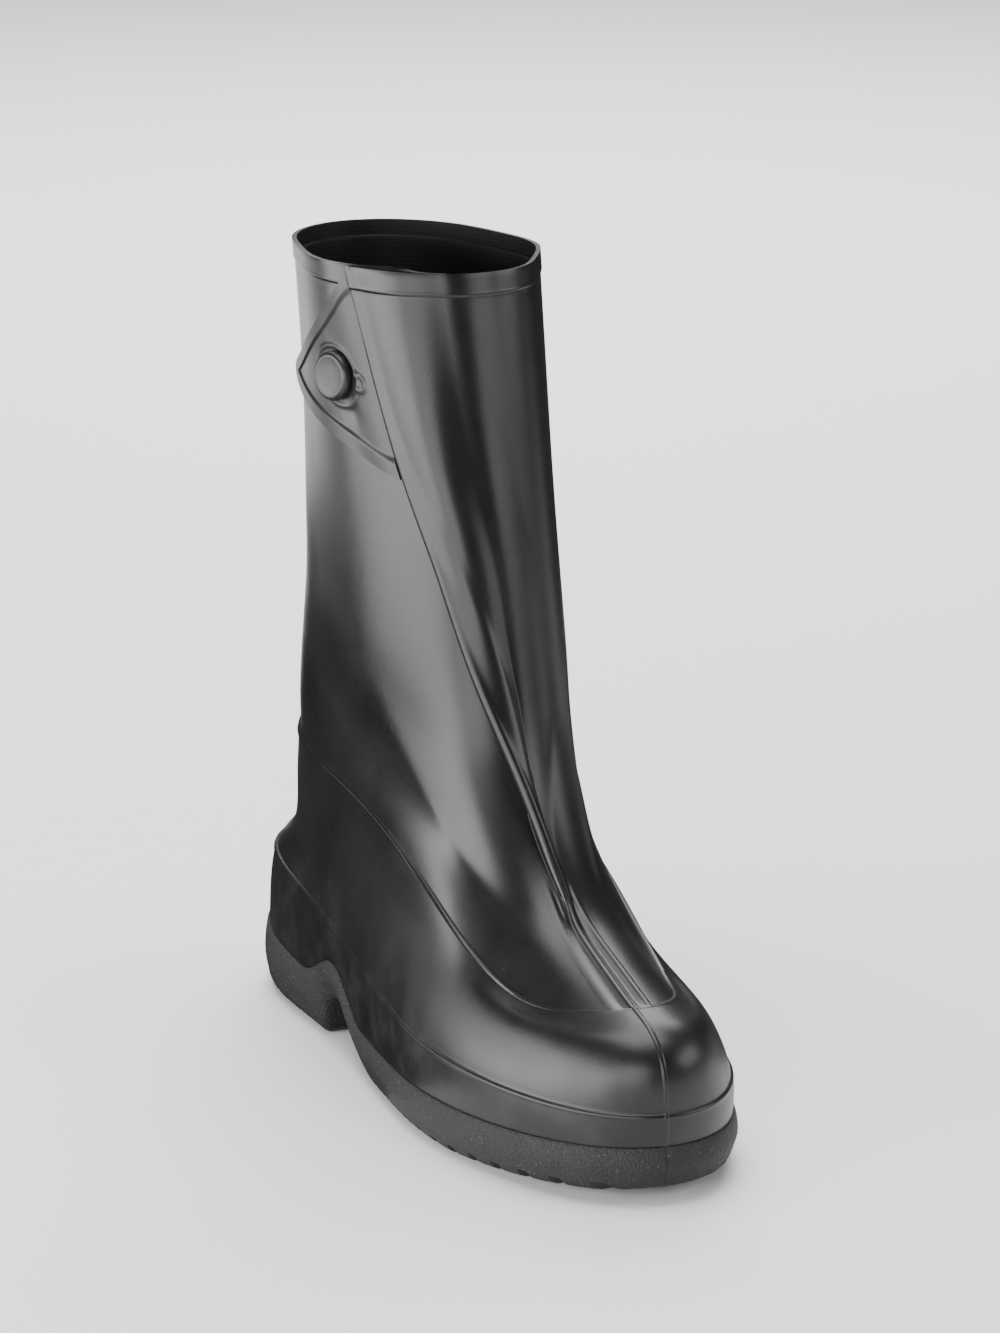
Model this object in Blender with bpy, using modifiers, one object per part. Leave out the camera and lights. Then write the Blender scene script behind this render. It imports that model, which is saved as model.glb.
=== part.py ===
"""Rubber overshoe for the right foot: a tall moulded upper with a buttoned front pleat, on a cleated outsole.

Sizes are metres and +Z is up. The toe points to -Y and the outer side of the foot is -X. The origin is on the
floor, under the middle of the shoe's box.
"""

import math

import bmesh
import bpy
import numpy as np
from mathutils import Matrix, Vector

# Driving sizes
WALL = 0.0018
FIT_GAP = 0.0003
FOXING_STEP = 0.0008
OVERLAY_STEP = 0.0008
COLLAR_BAND_STEP = 0.0005
SOLE_STEP = 0.0008

# The last, one row for each section from the sole's edge to the collar. front and back are Y, the z_ columns are
# the section's heights at its stations, and the w_ columns are its half widths there.
COLUMNS = (
    "front", "back", "z_front", "z_toe", "z_ball", "z_waist", "z_back", "w_toe", "w_ball", "w_waist", "w_heel",
)
SECTIONS = {
    "sole edge": (-0.1580, 0.1580, 0.0225, 0.0205, 0.0185, 0.0190, 0.0300, 0.0412, 0.0498, 0.0378, 0.0360),
    "foxing line": (-0.1585, 0.1555, 0.0340, 0.0345, 0.0375, 0.0480, 0.0600, 0.0408, 0.0493, 0.0385, 0.0345),
    "toe wall": (-0.1570, 0.1470, 0.0495, 0.0490, 0.0530, 0.0650, 0.0715, 0.0355, 0.0452, 0.0380, 0.0308),
    "toe crown": (-0.1485, 0.1385, 0.0595, 0.0568, 0.0665, 0.0865, 0.0970, 0.0318, 0.0395, 0.0372, 0.0334),
    "overlay line": (-0.1335, 0.1335, 0.0650, 0.0608, 0.0832, 0.1078, 0.1180, 0.0276, 0.0350, 0.0376, 0.0341),
    "vamp": (-0.1035, 0.1305, 0.0750, 0.0780, 0.1070, 0.1250, 0.1360, 0.0226, 0.0316, 0.0387, 0.0338),
    "instep": (-0.0795, 0.1275, 0.0860, 0.0930, 0.1270, 0.1430, 0.1520, 0.0220, 0.0336, 0.0398, 0.0328),
    "high instep": (-0.0595, 0.1245, 0.1040, 0.1130, 0.1430, 0.1580, 0.1670, 0.0240, 0.0370, 0.0405, 0.0316),
    "throat": (-0.0415, 0.1215, 0.1300, 0.1380, 0.1620, 0.1740, 0.1810, 0.0268, 0.0394, 0.0405, 0.0302),
    "ankle": (-0.0310, 0.1190, 0.1560, 0.1620, 0.1800, 0.1900, 0.1950, 0.0288, 0.0403, 0.0400, 0.0297),
    "shin": (-0.0215, 0.1175, 0.1950, 0.1980, 0.2080, 0.2140, 0.2170, 0.0291, 0.0406, 0.0399, 0.0296),
    "calf": (-0.0110, 0.1195, 0.2500, 0.2510, 0.2560, 0.2600, 0.2620, 0.0282, 0.0417, 0.0396, 0.0289),
    "collar": (-0.0005, 0.1245, 0.3130, 0.3132, 0.3136, 0.3140, 0.3142, 0.0272, 0.0428, 0.0402, 0.0297),
}
ROW = {name: float(number) for number, name in enumerate(SECTIONS)}
HEIGHT_STATIONS = (0.0, 0.13, 0.36, 0.64, 1.0)
WIDTH_STATIONS = (0.0, 0.13, 0.36, 0.64, 0.86, 1.0)
TOE_BLUNTNESS = 1.08
HEEL_BLUNTNESS = 1.36

# The toe swings towards the inner side of the foot and the waist towards the outer side.
TOE_SWING = 0.0028
TOE_SWING_START = -0.0325
TOE_SWING_REACH = 0.110
WAIST_SWING = 0.0015
WAIST = 0.0275
WAIST_REACH = 0.070
SWING_TOP = 0.060
SWING_FADE = 0.060

# The moulded side wall of the sole rises in an arch over the front of the heel.
EAR_RISE = 0.0142
EAR_CENTRE = 0.0515
EAR_HALF_LENGTH = 0.037

# The front pleat starts as a ridge on the instep, leans over to the outer side and lies flat at the collar. A row
# for each height on the front: how far round its folded edge lies, how deep the fold is, and the angle in degrees
# that it still stands up.
PLEAT_COLUMNS = ("height", "crease", "depth", "lean")
PLEAT = (
    (0.0880, 0.0000, 0.0000, 90.0),
    (0.1050, 0.0020, 0.0025, 84.0),
    (0.1250, 0.0060, 0.0062, 60.0),
    (0.1450, 0.0105, 0.0098, 36.0),
    (0.1650, 0.0155, 0.0130, 20.0),
    (0.2050, 0.0245, 0.0190, 8.0),
    (0.2400, 0.0345, 0.0245, 5.0),
    (0.3130, 0.0520, 0.0350, 4.0),
)
PLEAT_AIR = 0.0006
PLEAT_PITCH = WALL + PLEAT_AIR
PLEAT_FILLET = 0.019
RIDGE_FILLET = 0.0025
RIDGE_LEAD = 0.008
RIDGE_GROWTH = 0.012
FRONT_STRIP = (-0.0050, 0.0050)

# Outsole. The underside is a line of Y and height, from the toe spring over the arch and down the heel breast.
TOE_SPRING_TIP = 0.0072
ARCH_TOP = 0.0180
HEEL_BREAST = 0.0630
UNDERSIDE = (
    (-0.1645, TOE_SPRING_TIP), (-0.1475, 0.0047), (-0.1275, 0.0032), (-0.1025, 0.0015), (-0.0775, 0.0000),
    (0.0035, 0.0000), (0.0155, 0.0024), (0.0275, 0.0078), (0.0375, 0.0140), (0.0465, ARCH_TOP - 0.0008),
    (0.0535, ARCH_TOP), (HEEL_BREAST - 0.0035, ARCH_TOP - 0.0022), (HEEL_BREAST - 0.0012, ARCH_TOP / 2),
    (HEEL_BREAST, 0.0000), (0.1675, 0.0000),
)
FOOTBED = (
    (-0.1625, 0.0150), (-0.0625, 0.0125), (-0.0025, 0.0150), (0.0495, 0.0275), (0.0825, 0.0255), (0.1625, 0.0240),
)
RIM_INNER_LIP = 0.0006
SOLE_FLOOR_LIP = 0.0025
SOLE_BULGE = 0.0012
SOLE_CORNER = ((-0.0004, 0.0050), (-0.0020, 0.0016), (-0.0042, 0.0000))
LUG_DEPTH = 0.0030
LUG_PITCH = 0.0128
LUG_GROOVE = 0.0044
LUG_CHEVRON = 0.010
LUG_HALF_WIDTH = 0.075
FIRST_FOREPART_GROOVE = -0.0105
LAST_FOREPART_GROOVE = -0.1525
LAST_HEEL_GROOVE = 0.1495
UNDER_FLOOR = 0.004

# Closure. A row for each edge point of the tab, from the crease to its tip: the share of the way round, and the
# heights on the front of its upper and lower edge.
TAB_WALL = 0.0018
TAB_TIP_DISTANCE = 0.114
TAB_COLUMNS = ("share", "upper", "lower")
TAB_EDGES = (
    (0.00, 0.3095, 0.2350),
    (0.12, 0.3025, 0.2368),
    (0.24, 0.2955, 0.2388),
    (0.36, 0.2885, 0.2408),
    (0.48, 0.2818, 0.2427),
    (0.60, 0.2754, 0.2446),
    (0.72, 0.2695, 0.2465),
    (0.84, 0.2645, 0.2487),
    (0.93, 0.2610, 0.2508),
    (0.98, 0.2582, 0.2530),
    (1.00, 0.2560, 0.2550),
)
TAB_ROWS_UP = 10
TAB_LIFT_REACH = 0.020
TAB_REST = FIT_GAP + 0.0002
BUTTON_DISTANCE = 0.064
BUTTON_HEIGHT = 0.2675
BUTTON_RADIUS = 0.0095
BUTTON_THICKNESS = 0.0036
BUTTON_STEM_RADIUS = 0.0033
BUTTON_HOLE_RADIUS = 0.0042
BUTTON_CLEARANCE = 0.0009
BUTTON_DISH = 0.0006
BUTTON_EDGE = 0.0010

# Sampling. The ring rows stand close together where the wall has a step.
SHARP_ANGLE = math.radians(28)
OUTLINE_SAMPLES = 360
PANEL_STATIONS = (
    0.004, 0.014, 0.035, 0.07, 0.115, 0.17, 0.23, 0.30, 0.38, 0.45, 0.511, 0.549, 0.587, 0.625, 0.654, 0.676,
    0.690, 0.6965, 0.6995, 0.74, 0.79, 0.85, 0.91, 0.96, 0.99,
)
RING_ROWS = (
    0.0, 0.5, 0.97, 1.03, 1.5, 2.0, 2.5, 3.0, 3.5, 3.97, 4.03, 4.5, 5.0, 5.5, 6.0, 6.35, 6.7, 7.0, 7.5, 8.0,
    8.5, 9.0, 9.5, 10.0, 10.5, 11.0, 11.45, 11.86, 11.88, 12.0,
)
ROW_STEP = 0.05
COLLAR_BAND_ROW = 11.87


def smoothstep(value):
    """0 to 1 with flat ends."""
    share = np.clip(value, 0.0, 1.0)
    return share * share * (3.0 - 2.0 * share)


def spline(at, stations, values):
    """A natural cubic spline through values, which may hold a row of columns for each station."""
    stations = np.asarray(stations, float)
    values = np.asarray(values, float)
    count = len(stations)
    steps = np.diff(stations)
    slopes = np.diff(values, axis=0) / (steps if values.ndim == 1 else steps[:, None])
    system = np.eye(count)
    right = np.zeros_like(values)
    for i in range(1, count - 1):
        system[i, i - 1 : i + 2] = steps[i - 1], 2.0 * (steps[i - 1] + steps[i]), steps[i]
        right[i] = 6.0 * (slopes[i] - slopes[i - 1])
    bends = np.linalg.solve(system, right)
    at = np.clip(np.asarray(at, float), stations[0], stations[-1])
    i = np.clip(np.searchsorted(stations, at, side="right") - 1, 0, count - 2)
    step = steps[i]
    low, high = stations[i + 1] - at, at - stations[i]
    if values.ndim > 1:
        step, low, high = step[..., None], low[..., None], high[..., None]
    return (
        (bends[i] * low**3 + bends[i + 1] * high**3) / (6.0 * step)
        + (values[i] / step - bends[i] * step / 6.0) * low
        + (values[i + 1] / step - bends[i + 1] * step / 6.0) * high
    )


def section(row):
    """The last's section at a row number between rows, as a value for each column."""
    rows = np.array(list(SECTIONS.values()))
    values = spline(np.array([row]), np.arange(len(rows)), rows)[0]
    return dict(zip(COLUMNS, values))


def ear_rise(y):
    """How far the sole's side wall is raised by the arch over the heel breast."""
    reach = np.clip(np.abs(np.asarray(y) - EAR_CENTRE) / EAR_HALF_LENGTH, 0.0, 1.0)
    return EAR_RISE * np.cos(reach * math.pi / 2) ** 2


def swing(y, z):
    """The sideways shift of the last's centre line."""
    toe = TOE_SWING * smoothstep((TOE_SWING_START - y) / TOE_SWING_REACH)
    from_waist = np.clip((y - WAIST) / WAIST_REACH, -1.0, 1.0)
    waist = WAIST_SWING * np.cos(from_waist * math.pi / 2) ** 2
    return (toe - waist) * (1.0 - smoothstep((z - SWING_TOP) / SWING_FADE))


def outline(row):
    """One section of the last as a closed ring of points. It starts and ends at the back, and runs along the
    inner side to the front and back along the outer side."""
    at = section(row)
    turn = np.linspace(-math.pi, math.pi, OUTLINE_SAMPLES + 1)
    share = (1.0 - np.cos(turn)) / 2.0
    widths = [at[column] for column in ("w_toe", "w_ball", "w_waist", "w_heel")]
    fullness = [w / math.sqrt(1.0 - (1.0 - 2.0 * s) ** 2) for w, s in zip(widths, WIDTH_STATIONS[1:-1])]
    blunt = 1.0 + (HEEL_BLUNTNESS - 1.0) * (1.0 - smoothstep(row / ROW["overlay line"]))
    fullness = [fullness[0] * TOE_BLUNTNESS, *fullness, fullness[-1] * blunt]
    half_width = np.abs(np.sin(turn)) * spline(share, WIDTH_STATIONS, fullness)
    heights = [at[column] for column in ("z_front", "z_toe", "z_ball", "z_waist", "z_back")]
    y = at["front"] + share * (at["back"] - at["front"])
    z = spline(share, HEIGHT_STATIONS, heights)
    z = z + ear_rise(y) * (1.0 - smoothstep(row))
    x = -np.sign(turn) * half_width + swing(y, z)
    return np.stack([x, y, z], axis=1)


def surface_step(row):
    """How far the wall stands out from the last: foxing, foot overlay and collar band are steps in the wall."""
    return (
        FOXING_STEP * (row < ROW["foxing line"])
        + OVERLAY_STEP * (row < ROW["overlay line"])
        + COLLAR_BAND_STEP * (row > COLLAR_BAND_ROW)
    )


class Ring:
    """A section with a map from distance along it and height over it to a point. Distance is measured from the
    front, and grows towards the outer side."""

    def __init__(self, row):
        self.row = row
        self.points = outline(row)
        above, below = outline(min(row + ROW_STEP, ROW["collar"])), outline(max(row - ROW_STEP, 0.0))
        along = np.gradient(self.points, axis=0)
        along[0] = along[-1] = self.points[1] - self.points[-2]
        normals = np.cross(above - below, along)
        self.normals = normals / np.linalg.norm(normals, axis=1)[:, None]
        steps = np.linalg.norm(np.diff(self.points, axis=0), axis=1)
        lengths = np.concatenate([[0.0], np.cumsum(steps)])
        self.distance = lengths - lengths[OUTLINE_SAMPLES // 2]
        self.turn = np.linspace(-math.pi, math.pi, OUTLINE_SAMPLES + 1)
        self.front_height = self.points[OUTLINE_SAMPLES // 2, 2]

    def place(self, distance, height=0.0):
        """The points at these distances along the ring, this far outside it."""
        distance = np.asarray(distance, float)
        points = np.stack([np.interp(distance, self.distance, c) for c in self.points.T], axis=-1)
        normals = np.stack([np.interp(distance, self.distance, c) for c in self.normals.T], axis=-1)
        normals /= np.linalg.norm(normals, axis=-1)[..., None]
        return points + normals * np.asarray(height, float)[..., None]

    def distances_at(self, turns):
        return np.interp(turns, self.turn, self.distance)

    def turn_at(self, distance):
        return float(np.interp(distance, self.distance, self.turn))

    def panel_distances(self, inner_edge, outer_edge):
        """The stations of the inner and the outer panel, between the back and these edges at the front."""
        turns = np.arccos(1.0 - 2.0 * np.array(PANEL_STATIONS))
        inner_start, outer_start = self.turn_at(inner_edge), self.turn_at(outer_edge)
        inner = self.distances_at(inner_start - (math.pi + inner_start) * turns[::-1] / math.pi)
        outer = self.distances_at(outer_start + (math.pi - outer_start) * turns / math.pi)
        return inner, outer


def row_at_height(height):
    """The row number of the section whose front is at this height."""
    rows = np.linspace(ROW["instep"], ROW["collar"], OUTLINE_SAMPLES)
    fronts = [values[COLUMNS.index("z_front")] for values in SECTIONS.values()]
    heights = spline(rows, np.arange(len(SECTIONS)), fronts)
    return float(np.interp(height, heights, rows))


def pleat_at(height):
    """The pleat's row at a height between rows, as a value for each column."""
    rows = np.array(PLEAT)
    values = spline(np.array([height]), rows[:, 0], rows)[0]
    return dict(zip(PLEAT_COLUMNS, values))


def arc_points(centre, radius, start, end, count):
    angles = np.radians(np.linspace(start, end, count))
    return [(centre[0] + radius * math.cos(a), centre[1] + radius * math.sin(a)) for a in angles]


def pleat_path(height):
    """The pleat at this height, as distances and heights over the ring. It runs from the inner panel's edge up and
    over the fold, and back under it to the outer panel. The counts are the same at every height."""
    at = pleat_at(height)
    depth = max(at["depth"], 0.0)
    lean = math.radians(at["lean"])
    along = np.array([math.cos(lean), math.sin(lean)])
    out = np.array([-math.sin(lean), math.cos(lean)])
    half = PLEAT_PITCH / 2
    reach = (depth + half) * along[0] + PLEAT_PITCH * out[0]
    root = np.array([at["crease"] - reach, half])
    under_start, over_start = root + half * out, root + 3 * half * out
    tip = root + PLEAT_PITCH * out + depth * along
    fillet = RIDGE_FILLET + (PLEAT_FILLET - RIDGE_FILLET) * math.cos(lean)
    foot = np.array([over_start[0] - fillet, 0.0])
    path = []
    for share in (0.0, 0.3, 0.6, 0.82, 1.0):
        rise = smoothstep(share) * math.cos(lean) + share**2 * (1 - math.cos(lean))
        path.append((foot[0] + fillet * share, over_start[1] * rise))
    path += [over_start + depth * share * along for share in (0.4, 0.8)]
    tip_angle = at["lean"] + 90
    path += arc_points(tip, half, tip_angle, tip_angle - 180, 5)
    path += [under_start + depth * share * along for share in (0.8, 0.4)]
    path += arc_points(root, half, tip_angle, 270, 4)
    return np.array([tuple(point) for point in path])


def flat_path(count):
    """The pleat's points where there is no pleat yet: a strip along the middle of the front."""
    return np.stack([np.linspace(*FRONT_STRIP, count), np.zeros(count)], axis=1)


def ring_path(ring):
    """All the points of the upper's wall at one ring, with the pleat, in the middle of the wall."""
    height = ring.front_height
    folded = pleat_path(max(height, PLEAT[0][0]))
    flat = flat_path(len(folded))
    grown = float(smoothstep((height - PLEAT[0][0] + RIDGE_LEAD) / RIDGE_GROWTH))
    pleat = flat * (1 - grown) + folded * grown
    inner, outer = ring.panel_distances(pleat[0, 0], pleat[-1, 0])
    step = surface_step(ring.row)
    points = [
        ring.place([ring.distance[0]], [step]),
        ring.place(inner, np.full(len(inner), step)),
        ring.place(pleat[:, 0], pleat[:, 1] + step),
        ring.place(outer, np.full(len(outer), step)),
    ]
    return np.concatenate(points)


def grid_mesh(name, rings, closed=True, ladder_caps=False):
    """A mesh of quads between rings of points. Ladder caps close the first and last ring with strips across it,
    from the points on one side to the same points on the other."""
    mesh = bpy.data.meshes.new(name)
    build = bmesh.new()
    loops = [[build.verts.new(point) for point in ring] for ring in rings]
    count = len(loops[0])
    for low, high in zip(loops, loops[1:]):
        for i in range(count if closed else count - 1):
            j = (i + 1) % count
            build.faces.new((low[i], low[j], high[j], high[i]))
    for loop in (loops[0], loops[-1]) if ladder_caps else ():
        for i in range(count // 2):
            strip = (loop[i], loop[i + 1], loop[count - i - 1], loop[(count - i) % count])
            build.faces.new(tuple(dict.fromkeys(strip)))
    bmesh.ops.recalc_face_normals(build, faces=build.faces)
    build.to_mesh(mesh)
    build.free()
    return mesh


def rubber(name, shade, roughness):
    """A black rubber with its own depth of shade."""
    material = bpy.data.materials.new(name)
    material.use_nodes = True
    shader = material.node_tree.nodes["Principled BSDF"]
    shader.inputs["Base Color"].default_value = (shade, shade, shade, 1.0)
    shader.inputs["Roughness"].default_value = roughness
    shader.inputs["Metallic"].default_value = 0.0
    return material


def shade_round(mesh):
    mesh.shade_smooth()
    mesh.set_sharp_from_angle(angle=SHARP_ANGLE)


def add_part(name, mesh, collection, material=None):
    part = bpy.data.objects.new(name, mesh)
    collection.objects.link(part)
    if material:
        part.data.materials.append(material)
    return part


def make_cutter(thing):
    thing.hide_render = True
    thing.display_type = "WIRE"


def cut(part, cutter):
    modifier = part.modifiers.new("cut " + cutter.name, "BOOLEAN")
    modifier.operation = "DIFFERENCE"
    modifier.solver = "EXACT"
    modifier.object = cutter


def add_upper(collection):
    """The hollow upper: shaft, vamp, foxing and overlay steps, collar band and pleat in one moulded wall."""
    rings = [ring_path(Ring(row)) for row in RING_ROWS]
    rings[0] = rings[0] + np.array([0.0, 0.0, FIT_GAP])
    mesh = grid_mesh("upper", rings)
    upper = add_part("upper", mesh, collection, rubber("black rubber upper", 0.030, 0.38))
    wall = upper.modifiers.new("wall", "SOLIDIFY")
    wall.thickness = WALL
    wall.offset = 0.0
    wall.use_even_offset = True
    wall.use_quality_normals = True
    shade_round(mesh)
    return upper


def bottom_height(y):
    """The height of the sole's underside."""
    return float(np.interp(y, *zip(*UNDERSIDE)))


def footbed_height(y):
    return float(spline(np.array([y]), *zip(*FOOTBED))[0])


def sole_loop(offset, height_of):
    """The sole's outline at this offset from the upper's lower edge. height_of gives the height of each point for
    its Y and the height of the upper's edge there. The loop has one point at the very back and one at the front."""
    ring = Ring(ROW["sole edge"])
    inner, outer = ring.panel_distances(*FRONT_STRIP)
    front = [FRONT_STRIP[0], sum(FRONT_STRIP) / 2, FRONT_STRIP[1]]
    distances = np.concatenate([[ring.distance[0]], inner, front, outer])
    points = ring.place(distances)
    outward = ring.place(distances, np.ones(len(distances))) - points
    outward[:, 2] = 0.0
    outward /= np.linalg.norm(outward, axis=1)[:, None]
    moved = points + outward * (offset + FOXING_STEP + OVERLAY_STEP)
    moved[:, 2] = [height_of(y, z) for y, z in points[:, 1:]]
    return moved


def add_sole_base(collection, material):
    """The cupped outsole with its arch and heel, before its lugs are cut."""
    outer, inner = WALL / 2 + SOLE_STEP, -WALL / 2 - RIM_INNER_LIP
    loops = [
        sole_loop(inner - SOLE_FLOOR_LIP, lambda y, z: footbed_height(y)),
        sole_loop(inner, lambda y, z: z),
        sole_loop(outer, lambda y, z: z),
        sole_loop(outer + SOLE_BULGE, lambda y, z: (z + bottom_height(y)) / 2),
    ]
    for inset, rise in SOLE_CORNER:
        loops.append(sole_loop(outer + inset, lambda y, z: bottom_height(y) + rise))
    mesh = grid_mesh("outsole", loops, ladder_caps=True)
    shade_round(mesh)
    return add_part("outsole", mesh, collection, material)


def add_groove_cutters(collection):
    """Chevron grooves across the forepart and heel, which leave the lugs standing."""
    mesh = bpy.data.meshes.new("lug grooves")
    build = bmesh.new()
    forepart = np.arange(FIRST_FOREPART_GROOVE, LAST_FOREPART_GROOVE, -LUG_PITCH)
    heel = np.arange(HEEL_BREAST + LUG_PITCH, LAST_HEEL_GROOVE, LUG_PITCH)
    for middle in np.concatenate([forepart, heel]):
        low, high = -UNDER_FLOOR, LUG_DEPTH + bottom_height(middle)
        corners = []
        for x, lead in ((-LUG_HALF_WIDTH, LUG_CHEVRON), (0.0, 0.0), (LUG_HALF_WIDTH, LUG_CHEVRON)):
            near, far = middle + lead - LUG_GROOVE / 2, middle + lead + LUG_GROOVE / 2
            section_corners = ((near, low), (far, low), (far, high), (near, high))
            corners.append([build.verts.new((x, y, z)) for y, z in section_corners])
        for left, right in zip(corners, corners[1:]):
            for i in range(4):
                j = (i + 1) % 4
                build.faces.new((left[i], left[j], right[j], right[i]))
        build.faces.new(corners[0][::-1])
        build.faces.new(corners[-1])
    bmesh.ops.recalc_face_normals(build, faces=build.faces)
    build.to_mesh(mesh)
    build.free()
    grooves = add_part("lug grooves", mesh, collection)
    make_cutter(grooves)
    return grooves


def add_outsole(collection, cutters):
    outsole = add_sole_base(collection, rubber("black rubber outsole", 0.035, 0.7))
    cut(outsole, add_groove_cutters(cutters))
    return outsole


def panel_frame(distance, height):
    """A point of the last's outer panel and the direction out of it, at this distance round and front height."""
    ring = Ring(row_at_height(height))
    base = ring.place([distance])[0]
    out = ring.place([distance], [1.0])[0] - base
    return Vector(base), Vector(out)


def tab_height_over_panel(past_crease):
    """The middle of the tab's wall over the middle of the panel's. It comes off the pleat's edge and sinks onto
    the panel."""
    resting = WALL / 2 + TAB_WALL / 2 + TAB_REST
    at_crease = 2.0 * PLEAT_PITCH
    return resting + (at_crease - resting) * (1.0 - smoothstep(past_crease / TAB_LIFT_REACH))


def tab_start(height):
    """How far round the tab begins, just past the pleat's folded edge."""
    return pleat_at(height)["crease"] + PLEAT_PITCH / 2 + WALL / 2 + FIT_GAP


def add_closure_tab(collection, cutters):
    """The three-cornered tab that carries the buttonhole."""
    columns = []
    for row in TAB_EDGES:
        edge = dict(zip(TAB_COLUMNS, row))
        column = []
        for height in np.linspace(edge["lower"], edge["upper"], TAB_ROWS_UP):
            start = tab_start(height)
            distance = start + (TAB_TIP_DISTANCE - start) * edge["share"]
            ring = Ring(row_at_height(height))
            column.append(ring.place([distance], [tab_height_over_panel(distance - start)])[0])
        columns.append(column)
    mesh = grid_mesh("closure_tab", columns, closed=False)
    tab = add_part("closure_tab", mesh, collection, rubber("black rubber tab", 0.032, 0.4))
    wall = tab.modifiers.new("wall", "SOLIDIFY")
    wall.thickness = TAB_WALL
    wall.offset = 0.0
    wall.use_even_offset = True
    shade_round(mesh)
    base, out = panel_frame(BUTTON_DISTANCE, BUTTON_HEIGHT)
    bpy.ops.mesh.primitive_cylinder_add(vertices=20, radius=BUTTON_HOLE_RADIUS, depth=BUTTON_RADIUS * 3)
    hole = bpy.context.object
    hole.name = "buttonhole"
    hole.matrix_world = Matrix.Translation(base) @ out.to_track_quat("Z", "Y").to_matrix().to_4x4()
    for home in list(hole.users_collection):
        home.objects.unlink(hole)
    cutters.objects.link(hole)
    make_cutter(hole)
    cut(tab, hole)
    return tab


def add_button(collection):
    """The moulded button: a stem through the buttonhole and a flat domed head."""
    base, out = panel_frame(BUTTON_DISTANCE, BUTTON_HEIGHT)
    foot = WALL / 2 + TAB_REST
    past_crease = BUTTON_DISTANCE - tab_start(BUTTON_HEIGHT)
    under_head = float(tab_height_over_panel(past_crease)) + TAB_WALL / 2 + BUTTON_CLEARANCE
    top = under_head + BUTTON_THICKNESS
    profile = [
        (0.0, top - BUTTON_DISH),
        (BUTTON_RADIUS * 0.62, top - BUTTON_DISH / 2),
        (BUTTON_RADIUS * 0.80, top),
        (BUTTON_RADIUS * 0.95, top - BUTTON_DISH),
        (BUTTON_RADIUS, top - BUTTON_DISH - BUTTON_EDGE),
        (BUTTON_RADIUS, under_head + BUTTON_EDGE),
        (BUTTON_RADIUS * 0.93, under_head),
        (BUTTON_STEM_RADIUS, under_head),
        (BUTTON_STEM_RADIUS, foot),
        (0.0, foot),
    ]
    mesh = bpy.data.meshes.new("button")
    build = bmesh.new()
    verts = [build.verts.new((radius, 0.0, height)) for radius, height in profile]
    for a, b in zip(verts, verts[1:]):
        build.edges.new((a, b))
    build.to_mesh(mesh)
    build.free()
    button = add_part("button", mesh, collection, rubber("black rubber button", 0.03, 0.42))
    turn = button.modifiers.new("turned", "SCREW")
    turn.steps = turn.render_steps = 28
    turn.use_merge_vertices = True
    turn.merge_threshold = 0.00005
    turn.use_normal_calculate = True
    shade_round(mesh)
    button.matrix_world = Matrix.Translation(base) @ out.to_track_quat("Z", "Y").to_matrix().to_4x4()
    return button


def main():
    for old in list(bpy.data.objects):
        bpy.data.objects.remove(old)
    shoe = bpy.data.collections.new("rubber overshoe")
    cutters = bpy.data.collections.new("cutters")
    for collection in (shoe, cutters):
        bpy.context.scene.collection.children.link(collection)
    add_upper(shoe)
    add_outsole(shoe, cutters)
    add_closure_tab(shoe, cutters)
    add_button(shoe)


main()
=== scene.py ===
"""Looks of a tall rubber overshoe for the right foot: satin upper, button tab and stippled outsole."""
import math

import bmesh
import bpy
import numpy as np
from mathutils import Matrix, Vector


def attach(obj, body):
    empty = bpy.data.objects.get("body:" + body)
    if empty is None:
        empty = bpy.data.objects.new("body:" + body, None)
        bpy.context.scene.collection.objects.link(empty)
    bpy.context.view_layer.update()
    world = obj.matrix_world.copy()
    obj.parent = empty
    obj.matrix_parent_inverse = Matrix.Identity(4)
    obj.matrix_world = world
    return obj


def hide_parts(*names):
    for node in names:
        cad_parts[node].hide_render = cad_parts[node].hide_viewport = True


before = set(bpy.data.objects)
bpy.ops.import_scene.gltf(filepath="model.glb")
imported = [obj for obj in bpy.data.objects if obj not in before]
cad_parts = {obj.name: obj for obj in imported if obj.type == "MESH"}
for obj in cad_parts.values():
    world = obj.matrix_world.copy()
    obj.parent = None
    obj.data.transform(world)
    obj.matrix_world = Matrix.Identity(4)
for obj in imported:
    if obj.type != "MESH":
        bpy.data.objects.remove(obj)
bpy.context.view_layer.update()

# Walls and steps of the shoe, in metres
WALL = 0.0018
FIT_GAP = 0.0003
FOXING_STEP = 0.0008
OVERLAY_STEP = 0.0008
COLLAR_BAND_STEP = 0.0005
SOLE_STEP = 0.0008

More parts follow.
